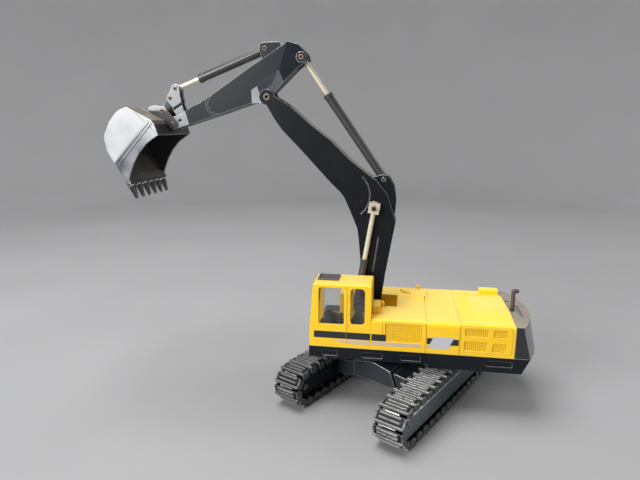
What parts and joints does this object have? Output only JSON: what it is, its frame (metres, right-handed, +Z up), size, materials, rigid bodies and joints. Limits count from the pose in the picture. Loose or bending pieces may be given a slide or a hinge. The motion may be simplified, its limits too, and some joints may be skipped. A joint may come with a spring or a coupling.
{
  "type": "toy excavator",
  "caption": "Scale model of a crawler excavator: swinging upper works, jointed boom, arm and bucket with moving hydraulic cylinders, and link-shoe tracks.",
  "frame": {"origin": "on the slew axis, on the ground under the tracks", "axes": "+X forward along the boom, +Y to the machine's left, +Z up"},
  "size_m": [0.2294, 0.141, 0.1888],
  "materials": {
    "yellow_paint": "gloss",
    "slate_paint": "satin",
    "bronze_pin": "worn satin",
    "track_metal": "burnished",
    "bright_steel": "satin",
    "boom_paint": "satin",
    "barrel_metal": "satin",
    "rod_metal": "polished",
    "linkage_metal": "worn bright",
    "bucket_metal": "satin",
    "dark_plastic": "matte",
    "clear_glazing": "clear"
  },
  "bodies": {
    "undercarriage": {"carbody": "slate_paint", "slew_ring": "track_metal", "left_track_frame": "slate_paint", "right_track_frame": "slate_paint", "left_frame_cover": "slate_paint", "right_frame_cover": "slate_paint", "left_track_shoes": "track_metal", "right_track_shoes": "track_metal", "left_track_pins": "bright_steel", "right_track_pins": "bright_steel", "track_rollers": "bright_steel", "wheel_axles": "bronze_pin", "frame_screws": "bright_steel"},
    "left_idler": {"left_idler": "track_metal"},
    "right_idler": {"right_idler": "track_metal"},
    "left_sprocket": {"left_sprocket": "track_metal"},
    "right_sprocket": {"right_sprocket": "track_metal"},
    "upper": {"deck": "slate_paint", "slew_pivot": "bright_steel", "engine_hood": "yellow_paint", "left_front_door": "yellow_paint", "left_rear_door": "yellow_paint", "right_front_door": "yellow_paint", "right_rear_door": "yellow_paint", "step_block": "yellow_paint", "air_filter_box": "yellow_paint", "filler_caps": "yellow_paint", "exhaust_pipe": "bright_steel", "counterweight": "boom_paint", "right_tank_housing": "yellow_paint", "right_tool_box": "dark_plastic", "cab_shell": "yellow_paint", "cab_glazing": "clear_glazing", "roof_hatch": "dark_plastic", "cab_floor": "dark_plastic", "operator_seat": "dark_plastic", "side_consoles": "dark_plastic", "control_levers": "dark_plastic", "boom_foot_pin": "bronze_pin", "cylinder_foot_pins": "bronze_pin"},
    "boom": {"boom": "boom_paint", "boom_tip_pin": "bronze_pin", "arm_cylinder_pin": "bronze_pin"},
    "boom_barrels": {"left_boom_barrel": "barrel_metal", "right_boom_barrel": "barrel_metal"},
    "boom_rods": {"left_boom_rod": "rod_metal", "right_boom_rod": "rod_metal"},
    "arm_barrel": {"arm_cylinder_barrel": "barrel_metal"},
    "arm_rod": {"arm_cylinder_rod": "rod_metal"},
    "arm": {"arm": "boom_paint", "arm_pins": "bronze_pin"},
    "bucket_barrel": {"bucket_cylinder_barrel": "barrel_metal"},
    "bucket_rod": {"bucket_cylinder_rod": "rod_metal"},
    "rocker": {"rocker_plates": "linkage_metal", "rocker_pins": "bronze_pin"},
    "coupler": {"coupling_link": "linkage_metal"},
    "bucket": {"bucket_shell": "bucket_metal", "bucket_teeth": "bucket_metal", "bucket_pins": "bronze_pin"}
  },
  "joints": [
    {"name": "swing", "type": "hinge", "parent": "undercarriage", "child": "upper", "pos_m": [0, 0, 0.0215], "axis": [0, 0, 1], "continuous": true},
    {"name": "left_sprocket_turn", "type": "hinge", "parent": "undercarriage", "child": "left_sprocket", "pos_m": [-0.05018, -0.02875, 0.01095], "axis": [-0.8805, 0.4741, 0], "continuous": true},
    {"name": "left_idler_turn", "type": "hinge", "parent": "undercarriage", "child": "left_idler", "pos_m": [-0.00362, 0.05772, 0.01095], "axis": [-0.8805, 0.4741, 0], "continuous": true},
    {"name": "right_sprocket_turn", "type": "hinge", "parent": "undercarriage", "child": "right_sprocket", "pos_m": [0.00362, -0.05772, 0.01095], "axis": [-0.8805, 0.4741, 0], "continuous": true},
    {"name": "right_idler_turn", "type": "hinge", "parent": "undercarriage", "child": "right_idler", "pos_m": [0.05018, 0.02875, 0.01095], "axis": [-0.8805, 0.4741, 0], "continuous": true},
    {"name": "boom_lift", "type": "hinge", "parent": "upper", "child": "boom", "pos_m": [0.011, 0, 0.0395], "axis": [0, -1, 0], "range_deg": [-64, 2]},
    {"name": "boom_barrel_tilt", "type": "hinge", "parent": "upper", "child": "boom_barrels", "pos_m": [0.0235, 0, 0.0345], "axis": [0, -1, 0], "range_deg": [-63.6, 3]},
    {"name": "boom_rod_slide", "type": "slide", "parent": "boom_barrels", "child": "boom_rods", "axis": [-0.1609, 0, 0.987], "range_m": [-0.0153, 0.0014]},
    {"name": "arm_swing", "type": "hinge", "parent": "boom", "child": "arm", "pos_m": [0.06989, 0, 0.16131], "axis": [0, -1, 0], "range_deg": [-35, 25]},
    {"name": "arm_barrel_tilt", "type": "hinge", "parent": "boom", "child": "arm_barrel", "pos_m": [0.00761, 0, 0.11889], "axis": [0, -1, 0], "range_deg": [-4.2, 3.3]},
    {"name": "arm_rod_slide", "type": "slide", "parent": "arm_barrel", "child": "arm_rod", "axis": [0.576, 0, 0.8174], "range_m": [-0.0117, 0.016]},
    {"name": "bucket_curl", "type": "hinge", "parent": "arm", "child": "bucket", "pos_m": [0.12292, 0, 0.1475], "axis": [0, -1, 0], "range_deg": [-60, 30]},
    {"name": "rocker_turn", "type": "hinge", "parent": "arm", "child": "rocker", "pos_m": [0.11911, 0, 0.14953], "axis": [0, -1, 0], "range_deg": [-47, 24]},
    {"name": "coupler_turn", "type": "hinge", "parent": "rocker", "child": "coupler", "pos_m": [0.12485, 0, 0.16126], "axis": [0, -1, 0], "range_deg": [-12.5, 24.2]},
    {"name": "bucket_barrel_tilt", "type": "hinge", "parent": "arm", "child": "bucket_barrel", "pos_m": [0.07076, 0, 0.18568], "axis": [0, -1, 0], "range_deg": [-0.6, 1]},
    {"name": "bucket_rod_slide", "type": "slide", "parent": "bucket_barrel", "child": "bucket_rod", "axis": [0.9347, 0, -0.3553], "range_m": [-0.0068, 0.0132]}
  ],
  "couplings": [
    {"joint": "boom_barrel_tilt", "follows": "boom_lift", "ratio": 0.982},
    {"joint": "boom_rod_slide", "follows": "boom_lift", "m_per_rad": 0.0128},
    {"joint": "arm_barrel_tilt", "follows": "arm_swing", "ratio": 0.09},
    {"joint": "arm_rod_slide", "follows": "arm_swing", "m_per_rad": -0.024637},
    {"joint": "rocker_turn", "follows": "bucket_curl", "ratio": 0.77},
    {"joint": "coupler_turn", "follows": "bucket_curl", "ratio": -0.39},
    {"joint": "bucket_barrel_tilt", "follows": "bucket_curl", "ratio": -0.01},
    {"joint": "bucket_rod_slide", "follows": "bucket_curl", "m_per_rad": -0.012032},
    {"joint": "left_idler_turn", "follows": "left_sprocket_turn", "ratio": 1},
    {"joint": "right_idler_turn", "follows": "right_sprocket_turn", "ratio": 1}
  ]
}
